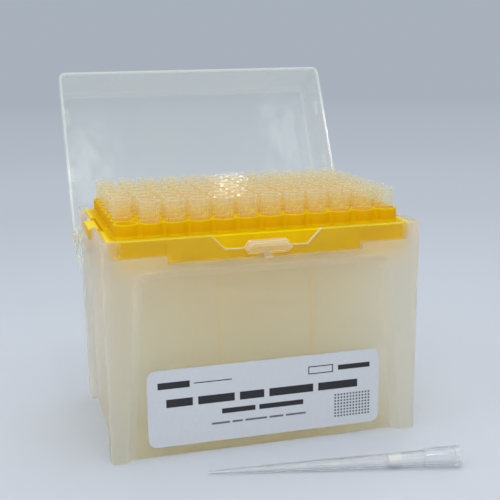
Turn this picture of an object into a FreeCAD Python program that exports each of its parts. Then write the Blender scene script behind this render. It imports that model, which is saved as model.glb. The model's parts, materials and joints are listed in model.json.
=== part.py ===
import FreeCAD, Part

import math
import os

# Rack box of filtered pipette tips: a translucent base, a yellow rack with a
# grid of wells, a clear lid on two side pins, and the tips with their filters.
# X runs along the front, Y runs to the back and Z is up.  The origin is the
# middle of the base's underside.  Sizes are in millimetres, angles in degrees.

V = FreeCAD.Vector
EPS = 0.5                 # how far a cutting or joining solid runs past a face

# Tips.  Each level is a depth below the mouth.
TIP_LENGTH = 90.5
TIP_HEAD_DIA = 7.5        # plain band round the mouth
TIP_HEAD_BAND = 2.4
TIP_SKIRT_TOP_DIA = 7.2   # ribbed skirt under the band
TIP_SKIRT_DIA = 6.8       # the same skirt at its lower end
TIP_SEAT_DEPTH = 12.9     # where the skirt ends and the tip rests
TIP_BODY_DIA = 5.8
TIP_BODY = ((22.4, 5.2), (46.5, 4.2), (78.9, 2.3))   # depth, diameter
TIP_POINT_DIA = 1.0
TIP_POINT_BORE = 0.5
TIP_MOUTH_BORE = 6.3
TIP_WALL = 0.55

# Filter plugs
FILTER_DEPTH = 21.5
FILTER_LENGTH = 4.5
FILTER_GAP = 0.1          # all round, in the tip's bore

# Well grid
COLUMNS = 12
ROWS = 8
TIP_SPACING = 1.5         # between neighbouring heads
PITCH = TIP_HEAD_DIA + TIP_SPACING

# Rack
DECK = 1.6
COLLAR_HEIGHT = 5.2
COLLAR_GROOVE = 2.0       # between outer collars, which webs join
COLLAR_OVERLAP = 0.15     # how far each collar reaches past half the pitch
WELL_GAP = 0.35           # round the skirt, in the collar
HOLE_GAP = 0.15           # round the tip's body, in the deck
RACK_LAND = 3.35          # deck outside the collars
RACK_CORNER = 2.4
RACK_GAP = 0.7            # rack to base wall
SKIRT_WALL = 1.4
SKIRT_INSET = 0.8
SKIRT_DROP = 6.3          # below the deck's top
LUG_DROP = 8.9            # deeper seats, front and back
LUG_HALF = 36.6
LUG_SLOT_HALF = 1.9
SLOT_HALF = 16.0          # pockets behind the clips, in the two short sides
SLOT_WIDTH = 1.3
SLOT_LAND = 1.45          # deck between collars and pocket
SLOT_DEPTH = 1.1
SHELF_THICK = 0.9         # under the deck, below each pocket
CLIP_HALF = 9.5
CLIP_GAP = 0.15           # clip to the base wall's outer face
CLIP_WALL = 0.7
CLIP_LIP = 0.4
CLIP_DROP = 3.9
CLIP_NOTCH_GAP = 0.3      # round the clip, in the wall it crosses

# Base
BASE_WALL = 1.7
BASE_FLOOR = 2.0
BASE_CORNER = 1.2
TIP_FLOOR_GAP = 2.8       # under the tips' points
RIM_STEP = 0.7            # rim above the deck
SIDE_DRAFT = 0.3          # how much each wall leans in towards the floor
FRONT_DRAFT = 2.1
RECESS_DEPTH = 2.8        # sunk panels between the corner posts
RECESS_BEVEL = 3.0
RECESS_CORNER = 5.0
RECESS_UNDER_LEDGE = 2.5
POST_TOP = 11.7
POST_FOOT = 5.8
LEDGE_WIDTH = 2.6
LEDGE_THICK = 2.0
RIB_AT = 18.0             # inner stiffening ribs, front and back
RIB_WIDTH = 0.9
RIB_PROUD = 1.0

# Front notch and thumb catch
NOTCH_HALF_TOP = 20.7
NOTCH_HALF_FOOT = 15.5
NOTCH_DEPTH = 5.4
CATCH_PROUD = 3.1
CATCH_TOP_HALF = 6.9
CATCH_MID_HALF = 8.8
CATCH_FOOT_HALF = 7.2
CATCH_RISE = 2.8
CATCH_FALL = 1.7
CATCH_BEVEL = 0.7
CATCH_GAP = 0.4           # under the closed lid's rim
CATCH_RIB_HALF = 1.4
CATCH_RIB_DROP = 2.2
CATCH_RIB_PROUD = 1.0

# Lid
LID_WALL = 1.0
LID_DRAFT = 1.2
LID_CORNER = 3.2
LID_EDGE = 1.6            # rounding of its top edges
LID_OVERLAP = 2.4         # its rim below the base's rim
LID_HEADROOM = 6.5        # over the tips
LID_SIDE_GAP = 0.3        # to the rack's clips
LID_FRONT_GAP = 1.5
LID_BACK_GAP = 0.7
LID_RIB_AT = 37.0
LID_RIB_WIDTH = 1.0
LID_RIB_PROUD = 1.0
LID_RIB_START = 1.2       # above the rim
PAD_AT = (-24.5, 3.5)     # inner pads that rest on the base's rim
PAD_LENGTH = 7.0
PAD_HEIGHT = 2.4
PAD_GAP = 0.4             # over the rim
PAD_REACH = 2.2

# Hinge: pins on the base in ears on the lid
PIVOT_INSET = 5.45
PIVOT_DROP = 12.0
PIN_RADIUS = 2.2
PIN_GAP = 0.05
PIN_END = 1.0             # past the ear
BOSS_RADIUS = 3.3
BOSS_GAP = 0.3
EAR_RADIUS = 4.1
STOP_GAP = 0.5            # open lid's rim to the base's back wall

# Label
LABEL_WIDTH = 91.0
LABEL_HEIGHT = 30.0
LABEL_CORNER = 3.5
LABEL_FOOT = 3.5
LABEL_THICK = 0.13

# Tip taken out of its well, lying in front of the box
EMPTY_WELL = (0, 0)       # column, row
LOOSE_X = -27.8           # its point
LOOSE_Y = -57.1
LOOSE_HEADING = -12.8

# Sizes that follow
COLLAR_RADIUS = PITCH / 2 + COLLAR_OVERLAP
COLLAR_BORE = TIP_SKIRT_DIA / 2 + WELL_GAP
HOLE_RADIUS = TIP_BODY_DIA / 2 + HOLE_GAP
GRID_X = (COLUMNS - 1) * PITCH / 2
GRID_Y = (ROWS - 1) * PITCH / 2
COLLARS_X = GRID_X + COLLAR_RADIUS
COLLARS_Y = GRID_Y + COLLAR_RADIUS
RACK_X = COLLARS_X + RACK_LAND
RACK_Y = COLLARS_Y + RACK_LAND
RIM_X = RACK_X + RACK_GAP + BASE_WALL
RIM_Y = RACK_Y + RACK_GAP + BASE_WALL
FOOT_X = RIM_X - SIDE_DRAFT
FOOT_Y = RIM_Y - FRONT_DRAFT
DECK_Z = BASE_FLOOR + TIP_FLOOR_GAP + TIP_LENGTH - TIP_SEAT_DEPTH
RIM_Z = DECK_Z + RIM_STEP
LEDGE_Z = DECK_Z - LUG_DROP
RECESS_Z = LEDGE_Z - RECESS_UNDER_LEDGE
CLIP_X = RIM_X + CLIP_GAP + CLIP_WALL
PIVOT = V(0, RIM_Y - PIVOT_INSET, RIM_Z - PIVOT_DROP)
LID_X = CLIP_X + LID_SIDE_GAP + LID_WALL
LID_FRONT = -RIM_Y - LID_FRONT_GAP - LID_WALL
LID_BACK = RIM_Y + LID_BACK_GAP + LID_WALL
LID_RIM_Z = RIM_Z - LID_OVERLAP
LID_TOP_Z = DECK_Z + TIP_SEAT_DEPTH + LID_HEADROOM + LID_WALL
CATCH_Z = LID_RIM_Z - CATCH_GAP


# ---- helpers ----

def rounded_outline(points, radii):
    """Closed wire through flat points, each corner an arc of its radius."""
    if not isinstance(radii, (tuple, list)):
        radii = [radii] * len(points)
    corners = []
    for index, point in enumerate(points):
        back = (points[index - 1] - point).normalize()
        ahead = (points[(index + 1) % len(points)] - point).normalize()
        radius = radii[index]
        if radius == 0:
            corners.append((point, None, point))
            continue
        half = back.getAngle(ahead) / 2
        reach = radius / math.tan(half)
        middle = (back + ahead).normalize()
        nearest = point + middle * (radius / math.sin(half) - radius)
        corners.append((point + back * reach, nearest, point + ahead * reach))
    edges = []
    for index, (start, nearest, end) in enumerate(corners):
        if nearest is not None:
            edges.append(Part.Arc(start, nearest, end).toShape())
        following = corners[(index + 1) % len(corners)][0]
        edges.append(Part.LineSegment(end, following).toShape())
    return Part.Wire(edges)


def rectangle(x0, x1, y0, y1, z, radius):
    points = [V(x0, y0, z), V(x1, y0, z), V(x1, y1, z), V(x0, y1, z)]
    return rounded_outline(points, radius)


def loft(first, second):
    return Part.makeLoft([first, second], True, True)


def prism(wire, vector):
    return Part.Face(wire).extrude(vector)


def box(x0, x1, y0, y1, z0, z1):
    return Part.makeBox(x1 - x0, y1 - y0, z1 - z0, V(x0, y0, z0))


def both_sides(shape):
    """The shape and its mirror image across the middle plane X = 0."""
    return [shape, shape.mirror(V(0, 0, 0), V(1, 0, 0))]


def front_and_back(shape):
    return [shape, shape.mirror(V(0, 0, 0), V(0, 1, 0))]


def wall_lean(draft):
    return math.degrees(math.atan2(draft, RIM_Z))


def on_front_wall(shape):
    """From a wall frame (X across, Y inwards, Z up the face) to the front."""
    placed = shape.copy()
    placed.rotate(V(0, 0, 0), V(1, 0, 0), wall_lean(FRONT_DRAFT))
    placed.translate(V(0, -FOOT_Y, 0))
    return placed


def on_right_wall(shape):
    placed = shape.copy()
    placed.rotate(V(0, 0, 0), V(1, 0, 0), wall_lean(SIDE_DRAFT))
    placed.rotate(V(0, 0, 0), V(0, 0, 1), 90)
    placed.translate(V(FOOT_X, 0, 0))
    return placed


def back_wall_y(z):
    return FOOT_Y + FRONT_DRAFT * z / RIM_Z


def open_angle():
    """Turn from closed at which the lid's back rim stops on the back wall."""
    reach = V(0, LID_BACK - PIVOT.y, LID_RIM_Z - PIVOT.z)
    start = math.atan2(reach.z, reach.y)
    angle = math.pi / 2
    for _ in range(6):
        edge_z = PIVOT.z + reach.Length * math.sin(start - angle)
        stop = back_wall_y(edge_z) + STOP_GAP - PIVOT.y
        angle = start + math.acos(stop / reach.Length)
    return math.degrees(angle)


# ---- tips and filters, modelled point down with the mouth at Z = 0 ----

def tip_bore_radius(depth):
    """Radius of the tip's bore at a depth below its mouth."""
    levels = [(0, TIP_MOUTH_BORE / 2), (TIP_SEAT_DEPTH, TIP_BODY_DIA / 2 - TIP_WALL)]
    levels += [(level, dia / 2 - TIP_WALL) for level, dia in TIP_BODY[:-1]]
    levels += [(TIP_LENGTH, TIP_POINT_BORE / 2)]
    for (d0, r0), (d1, r1) in zip(levels, levels[1:]):
        if d0 <= depth <= d1:
            return r0 + (r1 - r0) * (depth - d0) / (d1 - d0)


def turned(profile):
    """Solid of revolution about Z of (radius, depth) points."""
    points = [V(radius, 0, -depth) for radius, depth in profile]
    wire = Part.makePolygon(points + [points[0]])
    return Part.Face(wire).revolve(V(0, 0, 0), V(0, 0, 1), 360)


def tip():
    outer = [(TIP_HEAD_DIA / 2, 0), (TIP_HEAD_DIA / 2, TIP_HEAD_BAND)]
    outer += [(TIP_SKIRT_TOP_DIA / 2, TIP_HEAD_BAND), (TIP_SKIRT_DIA / 2, TIP_SEAT_DEPTH)]
    outer += [(TIP_BODY_DIA / 2, TIP_SEAT_DEPTH)]
    outer += [(dia / 2, level) for level, dia in TIP_BODY]
    outer += [(TIP_POINT_DIA / 2, TIP_LENGTH)]
    levels = [TIP_LENGTH] + [level for level, _ in TIP_BODY[-2::-1]] + [TIP_SEAT_DEPTH, 0]
    inner = [(tip_bore_radius(level), level) for level in levels]
    return turned(outer + inner)


def filter_plug():
    """Cone frustum that follows the bore, split where the bore's taper changes."""
    end = FILTER_DEPTH + FILTER_LENGTH
    levels = [FILTER_DEPTH, end]
    levels += [level for level, _ in TIP_BODY if FILTER_DEPTH < level < end]
    side = [(tip_bore_radius(level) - FILTER_GAP, level) for level in sorted(levels)]
    return turned([(0, FILTER_DEPTH)] + side + [(0, end)])


def row_of(shape, row):
    """Copies of a tip or filter in every well of a row but the empty one."""
    copies = []
    for column in range(COLUMNS):
        if (column, row) == EMPTY_WELL:
            continue
        place = V(-GRID_X + column * PITCH, -GRID_Y + row * PITCH, DECK_Z + TIP_SEAT_DEPTH)
        copies.append(shape.translated(place))
    return Part.makeCompound(copies)


def laid_down(shape):
    """The loose tip's pose: on its head band and point, turned to its heading."""
    rise = (TIP_HEAD_DIA - TIP_POINT_DIA) / 2
    slope = math.atan(rise / (TIP_LENGTH - TIP_HEAD_BAND))
    placed = shape.translated(V(0, 0, TIP_LENGTH))
    placed.rotate(V(0, 0, 0), V(0, 1, 0), 90 - math.degrees(slope))
    placed.rotate(V(0, 0, 0), V(0, 0, 1), LOOSE_HEADING)
    placed.translate(V(LOOSE_X, LOOSE_Y, TIP_POINT_DIA / 2 * math.cos(slope)))
    return placed


# ---- rack ----

def well_centre(column, row, z):
    return V(-GRID_X + column * PITCH, -GRID_Y + row * PITCH, z)


def collar_outline(z):
    """Outline of the joined collars: an arc round each outer well, webs between."""
    web = COLLAR_RADIUS - COLLAR_GROOVE
    reach = math.sqrt(COLLAR_RADIUS ** 2 - web ** 2)
    last_x, last_y = COLUMNS - 1, ROWS - 1
    sides = [[well_centre(column, 0, z) for column in range(COLUMNS)],
             [well_centre(last_x, row, z) for row in range(ROWS)],
             [well_centre(last_x - column, last_y, z) for column in range(COLUMNS)],
             [well_centre(0, last_y - row, z) for row in range(ROWS)]]
    arcs = []
    for turn, wells in enumerate(sides):
        along = V(1, 0, 0) if turn % 2 == 0 else V(0, 1, 0)
        outward = V(0, -1, 0) if turn % 2 == 0 else V(1, 0, 0)
        if turn > 1:
            along, outward = along * -1, outward * -1
        for well in wells[1:-1]:
            start = well - along * reach + outward * web
            end = well + along * reach + outward * web
            arcs.append((start, well + outward * COLLAR_RADIUS, end))
        corner = wells[-1]
        start = corner - along * reach + outward * web
        middle = corner + (along + outward).normalize() * COLLAR_RADIUS
        end = corner - outward * reach + along * web
        arcs.append((start, middle, end))
    edges = []
    for number, (start, middle, end) in enumerate(arcs):
        following = arcs[(number + 1) % len(arcs)][0]
        edges.append(Part.Arc(start, middle, end).toShape())
        edges.append(Part.LineSegment(end, following).toShape())
    return Part.Wire(edges)


def star_outline(column, row, z):
    """Gap left between four neighbouring collars."""
    half = PITCH / 2
    sink = math.sqrt(COLLAR_RADIUS ** 2 - half ** 2)
    near = well_centre(column, row, z)
    edges = []
    for turn in range(4):
        angle = math.pi / 2 * turn
        right = V(math.cos(angle), math.sin(angle), 0)
        up = V(-math.sin(angle), math.cos(angle), 0)
        cell = near + V(half, half, 0)
        well = cell - (right + up) * half
        start = well + right * half + up * sink
        end = well + up * half + right * sink
        middle = well + (right + up).normalize() * COLLAR_RADIUS
        edges.append(Part.Arc(end, middle, start).toShape())
    return Part.Wire(Part.sortEdges(edges)[0])


def circles(radius, z):
    wires = []
    for row in range(ROWS):
        for column in range(COLUMNS):
            ring = Part.makeCircle(radius, well_centre(column, row, z))
            wires.append(Part.Wire(ring))
    return wires


def pierced(outline, holes, height):
    face = Part.makeFace([outline] + holes, "Part::FaceMakerBullseye")
    return face.extrude(V(0, 0, height))


def rack_clip():
    """Right-hand clip: a bridge over the base's wall and a hook outside it."""
    root_x = COLLARS_X + SLOT_LAND + SLOT_WIDTH
    hook_x = RIM_X + CLIP_GAP
    foot_z = DECK_Z - CLIP_DROP
    points = [V(root_x, -CLIP_HALF, DECK_Z), V(root_x, -CLIP_HALF, DECK_Z - DECK),
              V(hook_x, -CLIP_HALF, DECK_Z - DECK), V(hook_x, -CLIP_HALF, foot_z),
              V(hook_x + CLIP_LIP, -CLIP_HALF, foot_z), V(CLIP_X, -CLIP_HALF, foot_z + CLIP_DROP / 2),
              V(CLIP_X, -CLIP_HALF, DECK_Z)]
    return prism(rounded_outline(points, 0), V(0, 2 * CLIP_HALF, 0))


def rack():
    deck_z = DECK_Z - DECK
    deck = pierced(rectangle(-RACK_X, RACK_X, -RACK_Y, RACK_Y, deck_z, RACK_CORNER),
                   circles(HOLE_RADIUS, deck_z), DECK)
    stars = [star_outline(column, row, DECK_Z)
             for column in range(COLUMNS - 1) for row in range(ROWS - 1)]
    collars = pierced(collar_outline(DECK_Z), circles(COLLAR_BORE, DECK_Z) + stars,
                      COLLAR_HEIGHT)
    skirt_x = RACK_X - SKIRT_INSET
    skirt_y = RACK_Y - SKIRT_INSET
    skirt_z = DECK_Z - SKIRT_DROP
    skirt_outer = rectangle(-skirt_x, skirt_x, -skirt_y, skirt_y, skirt_z, RACK_CORNER)
    inner_x = skirt_x - SKIRT_WALL
    inner_y = skirt_y - SKIRT_WALL
    skirt_inner = rectangle(-inner_x, inner_x, -inner_y, inner_y, skirt_z, RACK_CORNER / 2)
    skirt = pierced(skirt_outer, [skirt_inner], SKIRT_DROP - DECK)
    lug = box(-LUG_HALF, LUG_HALF, -RACK_Y, -inner_y, LEDGE_Z, deck_z)
    lug = lug.cut(box(-LUG_SLOT_HALF, LUG_SLOT_HALF, -RACK_Y - EPS, -inner_y + EPS,
                      LEDGE_Z - EPS, skirt_z))
    shelf = box(inner_x, RACK_X, -SLOT_HALF, SLOT_HALF, deck_z - SHELF_THICK, deck_z)
    body = deck.fuse([collars, skirt] + front_and_back(lug) + both_sides(shelf))
    slot = box(COLLARS_X + SLOT_LAND, RIM_X, -SLOT_HALF, SLOT_HALF,
               DECK_Z - SLOT_DEPTH, DECK_Z + EPS)
    body = body.cut(both_sides(slot))
    return body.fuse(both_sides(rack_clip())).removeSplitter()


# ---- base ----

def drafted_block(inset, foot_z, top_z):
    """The base's envelope, inset all round, between two levels."""
    wires = []
    for z in (foot_z, top_z):
        lean = 1 - z / RIM_Z
        x = RIM_X - SIDE_DRAFT * lean - inset
        y = RIM_Y - FRONT_DRAFT * lean - inset
        wires.append(rectangle(-x, x, -y, y, z, max(BASE_CORNER - inset, BASE_WALL / 2)))
    return loft(wires[0], wires[1])


def recess(half_top, half_foot, grow):
    """Sunk panel in a wall frame, or the same grown by a wall's thickness."""
    slope = RECESS_BEVEL / RECESS_DEPTH
    spread = grow * math.sqrt(1 + slope ** 2)
    wires = []
    for y in (-RECESS_DEPTH, RECESS_DEPTH + grow):
        side = spread - slope * y
        top = RECESS_Z + side
        foot = -2 * RECESS_DEPTH
        lean = (half_foot - half_top) / RECESS_Z
        low = half_foot - lean * foot + side
        high = half_foot - lean * top + side
        points = [V(-low, y, foot), V(low, y, foot), V(high, y, top), V(-high, y, top)]
        wires.append(rounded_outline(points, (0, 0, RECESS_CORNER, RECESS_CORNER)))
    return loft(wires[0], wires[1])


def recesses(grow):
    front = on_front_wall(recess(RIM_X - POST_TOP, FOOT_X - POST_FOOT, grow))
    right = on_right_wall(recess(RIM_Y - POST_TOP, FOOT_Y - POST_FOOT, grow))
    return front_and_back(front) + both_sides(right)


def inner_ribs():
    face = RECESS_DEPTH + BASE_WALL
    rib = box(RIB_AT - RIB_WIDTH / 2, RIB_AT + RIB_WIDTH / 2, face - EPS, face + RIB_PROUD,
              BASE_FLOOR - EPS, RECESS_Z)
    ribs = []
    for side in both_sides(on_front_wall(rib)):
        ribs += front_and_back(side)
    return ribs


def notch():
    foot_z = RIM_Z - NOTCH_DEPTH
    rise = (NOTCH_HALF_TOP - NOTCH_HALF_FOOT) / NOTCH_DEPTH
    top = NOTCH_HALF_TOP + rise * EPS
    y = -RIM_Y - EPS
    points = [V(-NOTCH_HALF_FOOT, y, foot_z), V(NOTCH_HALF_FOOT, y, foot_z),
              V(top, y, RIM_Z + EPS), V(-top, y, RIM_Z + EPS)]
    return prism(rounded_outline(points, 0), V(0, BASE_WALL + RACK_GAP + EPS, 0))


def catch_outline(y, inset):
    middle_z = CATCH_Z - CATCH_RISE
    foot_z = middle_z - CATCH_FALL
    points = [V(-CATCH_FOOT_HALF + inset, y, foot_z + inset),
              V(CATCH_FOOT_HALF - inset, y, foot_z + inset),
              V(CATCH_MID_HALF - inset, y, middle_z),
              V(CATCH_TOP_HALF - inset, y, CATCH_Z - inset),
              V(-CATCH_TOP_HALF + inset, y, CATCH_Z - inset),
              V(-CATCH_MID_HALF + inset, y, middle_z)]
    return rounded_outline(points, 0)


def catch():
    """Thumb tab on the notch's sill, bevelled round its front, with a short rib."""
    back = -RIM_Y + BASE_WALL / 2
    shoulder = -RIM_Y - CATCH_PROUD + CATCH_BEVEL
    front = -RIM_Y - CATCH_PROUD
    block = prism(catch_outline(back, 0), V(0, shoulder - back, 0))
    nose = loft(catch_outline(shoulder, 0), catch_outline(front, CATCH_BEVEL))
    foot_z = CATCH_Z - CATCH_RISE - CATCH_FALL
    rib = box(-CATCH_RIB_HALF, CATCH_RIB_HALF, -RIM_Y - CATCH_RIB_PROUD, back,
              foot_z - CATCH_RIB_DROP, foot_z + EPS)
    return [block, nose, rib]


def hinge_pin():
    """Right-hand pin, with the boss that keeps the lid's ear off the wall."""
    along = V(1, 0, 0)
    root = V(RIM_X - BASE_WALL / 2, PIVOT.y, PIVOT.z)
    ear_x = LID_X - LID_WALL
    boss = Part.makeCylinder(BOSS_RADIUS, ear_x - BOSS_GAP - root.x, root, along)
    pin = Part.makeCylinder(PIN_RADIUS, LID_X + PIN_END - root.x, root, along)
    return boss.fuse(pin)


def base():
    outer = drafted_block(0, 0, RIM_Z).cut(recesses(0))
    cavity = drafted_block(BASE_WALL, BASE_FLOOR, RIM_Z + EPS).cut(recesses(BASE_WALL))
    shell = outer.cut(cavity)
    ledge_y = back_wall_y(LEDGE_Z) - BASE_WALL
    ledge = box(-LUG_HALF, LUG_HALF, -ledge_y - BASE_WALL / 2, -ledge_y + LEDGE_WIDTH,
                LEDGE_Z - LEDGE_THICK, LEDGE_Z)
    clip_room = box(RIM_X - BASE_WALL - RACK_GAP, RIM_X + EPS,
                    -CLIP_HALF - CLIP_NOTCH_GAP, CLIP_HALF + CLIP_NOTCH_GAP,
                    DECK_Z - DECK - CLIP_NOTCH_GAP, RIM_Z + EPS)
    shell = shell.cut([notch()] + both_sides(clip_room))
    added = front_and_back(ledge) + inner_ribs() + catch() + both_sides(hinge_pin())
    return shell.fuse(added).removeSplitter()


# ---- label ----

def label():
    x = LABEL_WIDTH / 2
    points = [V(-x, RECESS_DEPTH, LABEL_FOOT), V(x, RECESS_DEPTH, LABEL_FOOT),
              V(x, RECESS_DEPTH, LABEL_FOOT + LABEL_HEIGHT),
              V(-x, RECESS_DEPTH, LABEL_FOOT + LABEL_HEIGHT)]
    sheet = prism(rounded_outline(points, LABEL_CORNER), V(0, -LABEL_THICK, 0))
    return on_front_wall(sheet)


# ---- lid, modelled closed and then swung open ----

def lid_block(inset, foot_z, top_z, corner):
    wires = []
    for z in (foot_z, top_z):
        lean = LID_DRAFT * (z - LID_RIM_Z) / (LID_TOP_Z - LID_RIM_Z) + inset
        wires.append(rectangle(-LID_X + lean, LID_X - lean, LID_FRONT + lean, LID_BACK - lean,
                               z, corner))
    return loft(wires[0], wires[1])


def top_edges(solid, z):
    edges = []
    for edge in solid.Edges:
        limits = edge.BoundBox
        if abs(limits.ZMin - z) < LID_WALL / 10 and limits.ZLength < LID_WALL / 10:
            edges.append(edge)
    return edges


def lid_ear():
    """Right-hand ear: the side wall carried down round the pin."""
    inner_x = LID_X - LID_WALL
    y, z = PIVOT.y, PIVOT.z
    plate = box(inner_x, LID_X, y - EAR_RADIUS, y + EAR_RADIUS, z, LID_RIM_Z + LID_RIB_START)
    return plate.fuse(Part.makeCylinder(EAR_RADIUS, LID_WALL, V(inner_x, y, z), V(1, 0, 0)))


def lid():
    outer = lid_block(0, LID_RIM_Z, LID_TOP_Z, LID_CORNER)
    outer = outer.makeFillet(LID_EDGE, top_edges(outer, LID_TOP_Z))
    inner_top = LID_TOP_Z - LID_WALL
    cavity = lid_block(LID_WALL, LID_RIM_Z, inner_top, LID_CORNER - LID_WALL)
    cavity = cavity.makeFillet(LID_EDGE - LID_WALL, top_edges(cavity, inner_top))
    mouth = lid_block(LID_WALL, LID_RIM_Z - EPS, LID_RIM_Z + EPS, LID_CORNER - LID_WALL)
    shell = outer.cut([cavity, mouth])
    front = LID_FRONT + LID_WALL
    rib = box(LID_RIB_AT - LID_RIB_WIDTH / 2, LID_RIB_AT + LID_RIB_WIDTH / 2,
              front - LID_WALL / 2, front + LID_RIB_PROUD,
              LID_RIM_Z + LID_RIB_START, LID_TOP_Z - LID_WALL / 2)
    pad_z = RIM_Z + PAD_GAP
    added = both_sides(lid_ear()) + both_sides(rib.common(outer))
    for y in PAD_AT:
        pad = box(LID_X - LID_WALL - PAD_REACH, LID_X, y - PAD_LENGTH / 2,
                  y + PAD_LENGTH / 2, pad_z, pad_z + PAD_HEIGHT)
        added += both_sides(pad.common(outer))
    bore = Part.makeCylinder(PIN_RADIUS + PIN_GAP, 2 * LID_X + 2 * EPS,
                             V(-LID_X - EPS, PIVOT.y, PIVOT.z), V(1, 0, 0))
    body = shell.fuse(added).cut(bore).removeSplitter()
    body.rotate(PIVOT, V(1, 0, 0), -open_angle())
    return body


def main():
    os.makedirs("parts", exist_ok=True)
    nodes = {"base": base(), "rack": rack(), "lid": lid(), "label": label()}
    for row in range(ROWS):
        letter = "abcdefghijklmnopqrstuvwxyz"[row]
        nodes["tips_row_" + letter] = row_of(tip(), row)
        nodes["filters_row_" + letter] = row_of(filter_plug(), row)
    nodes["loose_tip"] = laid_down(tip())
    nodes["loose_tip_filter"] = laid_down(filter_plug())
    for name, shape in nodes.items():
        shape.exportStep("parts/" + name + ".step")
        print(name, len(shape.Solids), "solids", round(shape.Volume, 1), "mm3", shape.isValid())
    print("pivot", PIVOT.y, PIVOT.z, "open angle", round(open_angle(), 3))


main()
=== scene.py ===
# %% [markdown]
# # A rack box of pipette tips
#
# Ninety-six wells, ninety-five tips standing in them, and one tip taken out
# and laid on the bench.  The object is four plastics: a milky base, a yellow
# rack, a clear lid and clear tips.  Thin plastic looks like what shines
# through it, so this lesson is mostly about walls that let light in, and about
# the pale lines that a moulded edge draws.
#
# The solids come ready made at their real size, and each one hangs on a body:
# the box, or the lid that swings on it.  Every step below either takes such a
# solid and finishes it, or stands a finer piece in its place.

# %% Load the frame
import json
import math

import bmesh
import bpy
from mathutils import Matrix, Vector


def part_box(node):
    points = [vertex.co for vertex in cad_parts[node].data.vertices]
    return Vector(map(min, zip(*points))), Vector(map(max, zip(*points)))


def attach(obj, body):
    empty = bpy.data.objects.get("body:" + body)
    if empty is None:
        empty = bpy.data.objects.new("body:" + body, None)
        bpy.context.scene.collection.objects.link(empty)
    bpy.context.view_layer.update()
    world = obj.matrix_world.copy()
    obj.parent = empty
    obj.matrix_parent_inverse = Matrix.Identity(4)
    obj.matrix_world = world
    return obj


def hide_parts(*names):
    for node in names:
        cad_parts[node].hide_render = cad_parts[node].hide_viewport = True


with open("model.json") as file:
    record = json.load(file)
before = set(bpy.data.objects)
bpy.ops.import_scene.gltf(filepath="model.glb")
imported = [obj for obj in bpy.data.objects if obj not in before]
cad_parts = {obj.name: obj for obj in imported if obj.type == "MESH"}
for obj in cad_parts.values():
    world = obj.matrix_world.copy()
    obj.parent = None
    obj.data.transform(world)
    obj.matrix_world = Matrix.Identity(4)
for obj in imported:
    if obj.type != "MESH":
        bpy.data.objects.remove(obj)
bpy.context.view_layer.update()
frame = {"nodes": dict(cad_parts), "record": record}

# %% [markdown]
# The object was drawn in millimetres and Blender works in metres.  One small
# helper does the change, so that every size below reads as it would on a
# drawing.  Scaling the finished scene instead would leave scales on objects,
# and they upset bevels and noise.

# %% Millimetres
MM = 0.001


def mm(*values):
    return Vector(values) * MM


# %% [markdown]
# ## The camera
#
# The box is seen from a little to its left and a little above, at arm's
# length.  A camera can be turned with angles typed into the editor.  Here its
# three axes are built from yaw, pitch and roll instead, because then each
# number has a plain meaning: how far it looks to the right, how far down, and
# how much it leans.

# %% Stand the camera
LOOKS_RIGHT, LOOKS_DOWN, LEANS = 15.04, 11.72, -1.11
EYE = (-93.16, -363.91, 146.01)
FILM_WIDTH, FOCAL_LENGTH = 36, 68.17


def put(name, data):
    """A new object in the scene, at the origin."""
    thing = bpy.data.objects.new(name, data)
    bpy.context.collection.objects.link(thing)
    return thing


def camera_axes(yaw, pitch, roll):
    forward = Vector((math.sin(yaw) * math.cos(pitch), math.cos(yaw) * math.cos(pitch),
                      -math.sin(pitch)))
    right = Vector((math.cos(yaw), -math.sin(yaw), 0))
    up = right.cross(forward)
    side = right * math.cos(roll) + up * math.sin(roll)
    top = up * math.cos(roll) - right * math.sin(roll)
    return side, top, forward


def stand_camera():
    angles = [math.radians(angle) for angle in (LOOKS_RIGHT, LOOKS_DOWN, LEANS)]
    side, top, forward = camera_axes(*angles)
    lens = bpy.data.cameras.new("camera")
    lens.sensor_width = FILM_WIDTH
    lens.lens = FOCAL_LENGTH
    camera = put("camera", lens)
    turn = Matrix((side, top, -forward)).transposed().to_4x4()
    camera.matrix_world = Matrix.Translation(mm(*EYE)) @ turn
    bpy.context.scene.camera = camera
    return lens.lens


bpy.context.scene.view_settings.view_transform = "Standard"
print("lens", stand_camera(), "mm")

# %% [markdown]
# A line of sight through the open lid and eight rows of clear tips crosses
# more than sixty surfaces.  Cycles gives up on a ray after a few of them and
# paints it black.  Making the tips solid would hide the fault and lose their
# look, so the limits are raised to what the object needs.

# %% Let light go deep
def let_light_deep():
    cycles = bpy.context.scene.cycles
    cycles.max_bounces = 32
    cycles.diffuse_bounces = 16
    cycles.transmission_bounces = 24
    cycles.transparent_max_bounces = 96
    return cycles.transparent_max_bounces


print("clear surfaces a ray may cross", let_light_deep())

# %% [markdown]
# ## Shader sums as sums
#
# A finish is mostly arithmetic: a mask here, a gradient there, multiplied and
# added.  Wired by hand, ten Math nodes already hide what they work out.
# `Signal` wraps one output socket, and each operator adds the Math node that
# does its work.  The reflected forms are there too, so that `1 - mask` works.
# `|` is the larger of two masks and `&` the smaller.

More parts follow.
